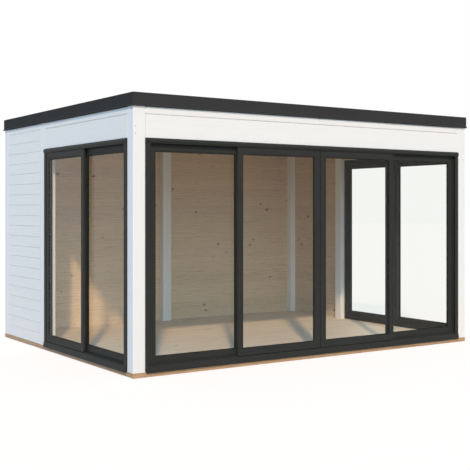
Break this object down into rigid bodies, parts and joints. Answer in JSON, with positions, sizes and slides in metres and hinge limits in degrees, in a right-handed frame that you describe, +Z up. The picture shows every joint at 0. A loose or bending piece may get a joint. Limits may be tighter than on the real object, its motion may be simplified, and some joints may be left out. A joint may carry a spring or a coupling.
{
  "type": "garden shed",
  "caption": "Flat-roofed garden shed of posts and painted boards on ground bearers, with glazed sliding doors on the front and both sides.",
  "frame": {"origin": "ground level, in the middle of the plan", "axes": "+X along the front to the right as seen from outside, +Y from the front to the back, +Z up"},
  "size_m": [4.2, 3.22, 2.5],
  "materials": {
    "base_timber": "impregnated",
    "rough_timber": "sawn",
    "floor_boards": "planed",
    "white_paint": "satin paint",
    "roof_felt": "matt",
    "fascia_trim": "matt",
    "door_metal": "satin",
    "glazing": "clear"
  },
  "bodies": {
    "shed": {"base_bearers_long": "base_timber", "base_bearers_short": "base_timber", "floor_joists": "rough_timber", "roof_rafters": "rough_timber", "roof_deck": "rough_timber", "floor_deck": "floor_boards", "post_front_left": "white_paint", "post_front_right": "white_paint", "post_back_left": "white_paint", "post_back_right": "white_paint", "post_left_middle": "white_paint", "post_right_middle": "white_paint", "post_back_middle": "white_paint", "left_wall": "white_paint", "right_wall": "white_paint", "back_wall_left": "white_paint", "back_wall_right": "white_paint", "front_header": "white_paint", "left_header": "white_paint", "right_header": "white_paint", "wall_plates": "white_paint", "roof_membrane": "roof_felt", "fascia_front_back": "fascia_trim", "fascia_sides": "fascia_trim", "front_door_head": "door_metal", "front_door_sill": "door_metal", "front_door_jambs": "door_metal", "left_door_head": "door_metal", "left_door_sill": "door_metal", "left_door_jambs": "door_metal", "right_door_head": "door_metal", "right_door_sill": "door_metal", "right_door_jambs": "door_metal", "front_fixed_leaves": "door_metal", "side_fixed_leaves": "door_metal", "front_fixed_panes": "glazing", "side_fixed_panes": "glazing"},
    "front_left_leaf": {"front_left_leaf": "door_metal", "front_left_pane": "glazing"},
    "front_right_leaf": {"front_right_leaf": "door_metal", "front_right_pane": "glazing"},
    "left_leaf": {"left_leaf": "door_metal", "left_pane": "glazing"},
    "right_leaf": {"right_leaf": "door_metal", "right_pane": "glazing"}
  },
  "joints": [
    {"name": "front_left_leaf_slide", "type": "slide", "parent": "shed", "child": "front_left_leaf", "axis": [-1, 0, 0], "range_m": [0, 0.9]},
    {"name": "front_right_leaf_slide", "type": "slide", "parent": "shed", "child": "front_right_leaf", "axis": [1, 0, 0], "range_m": [0, 0.9]},
    {"name": "left_leaf_slide", "type": "slide", "parent": "shed", "child": "left_leaf", "axis": [0, -1, 0], "range_m": [0, 0.83]},
    {"name": "right_leaf_slide", "type": "slide", "parent": "shed", "child": "right_leaf", "axis": [0, 1, 0], "range_m": [0, 0.83]}
  ]
}
